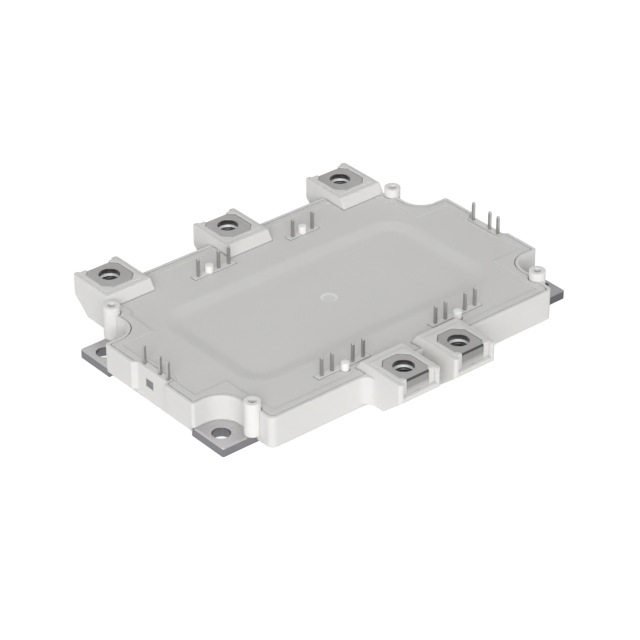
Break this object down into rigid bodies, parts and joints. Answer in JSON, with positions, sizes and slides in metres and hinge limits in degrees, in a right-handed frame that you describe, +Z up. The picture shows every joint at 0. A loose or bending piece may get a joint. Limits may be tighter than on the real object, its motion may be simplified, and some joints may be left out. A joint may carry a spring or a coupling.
{
  "type": "igbt module",
  "caption": "Flat three-phase power semiconductor module with a metal base plate, moulded frame and lid, screw terminals on both long sides and upright solder pins.",
  "frame": {"origin": "centre of the base plate's flat underside", "axes": "+X along the long side, +Y from the two supply terminals to the three output terminals, +Z up, away from the heatsink"},
  "size_m": [0.1306, 0.1072, 0.017],
  "materials": {
    "plated_base": "satin",
    "frame_plastic": "fine moulded matt",
    "lid_plastic": "fine moulded matt",
    "terminal_metal": "satin tin plate",
    "nut_steel": "zinc plate",
    "plug_plastic": "matt",
    "pin_metal": "tin plate",
    "substrate_ceramic": "matt",
    "track_copper": "satin copper",
    "chip_silicon": "polished",
    "bond_aluminium": "satin",
    "sensor_ceramic": "matt",
    "silicone_gel": "clear soft gel"
  },
  "bodies": {
    "root": {"base_plate": "plated_base", "bonds_u": "bond_aluminium", "bonds_v": "bond_aluminium", "bonds_w": "bond_aluminium", "dc_minus_nut": "nut_steel", "dc_minus_terminal": "terminal_metal", "dc_plus_nut": "nut_steel", "dc_plus_terminal": "terminal_metal", "dc_side_pin_1": "pin_metal", "dc_side_pin_2": "pin_metal", "dc_side_pin_3": "pin_metal", "dc_side_pin_4": "pin_metal", "dc_side_pin_5": "pin_metal", "dc_side_pin_6": "pin_metal", "dc_side_pin_7": "pin_metal", "dc_side_pin_8": "pin_metal", "end_plug_left": "plug_plastic", "end_plug_right": "plug_plastic", "gel_filling": "silicone_gel", "high_diode_u": "chip_silicon", "high_diode_v": "chip_silicon", "high_diode_w": "chip_silicon", "high_transistor_u": "chip_silicon", "high_transistor_v": "chip_silicon", "high_transistor_w": "chip_silicon", "housing_frame": "frame_plastic", "left_end_pin_1": "pin_metal", "left_end_pin_2": "pin_metal", "left_end_pin_3": "pin_metal", "lid": "lid_plastic", "low_diode_u": "chip_silicon", "low_diode_v": "chip_silicon", "low_diode_w": "chip_silicon", "low_transistor_u": "chip_silicon", "low_transistor_v": "chip_silicon", "low_transistor_w": "chip_silicon", "phase_side_pin_1": "pin_metal", "phase_side_pin_2": "pin_metal", "phase_side_pin_3": "pin_metal", "phase_side_pin_4": "pin_metal", "phase_side_pin_5": "pin_metal", "phase_u_nut": "nut_steel", "phase_u_terminal": "terminal_metal", "phase_v_nut": "nut_steel", "phase_v_terminal": "terminal_metal", "phase_w_nut": "nut_steel", "phase_w_terminal": "terminal_metal", "right_end_pin_1": "pin_metal", "right_end_pin_2": "pin_metal", "right_end_pin_3": "pin_metal", "substrate_u": "substrate_ceramic", "substrate_v": "substrate_ceramic", "substrate_w": "substrate_ceramic", "thermistor": "sensor_ceramic", "tracks_u": "track_copper", "tracks_v": "track_copper", "tracks_w": "track_copper"}
  },
  "joints": []
}
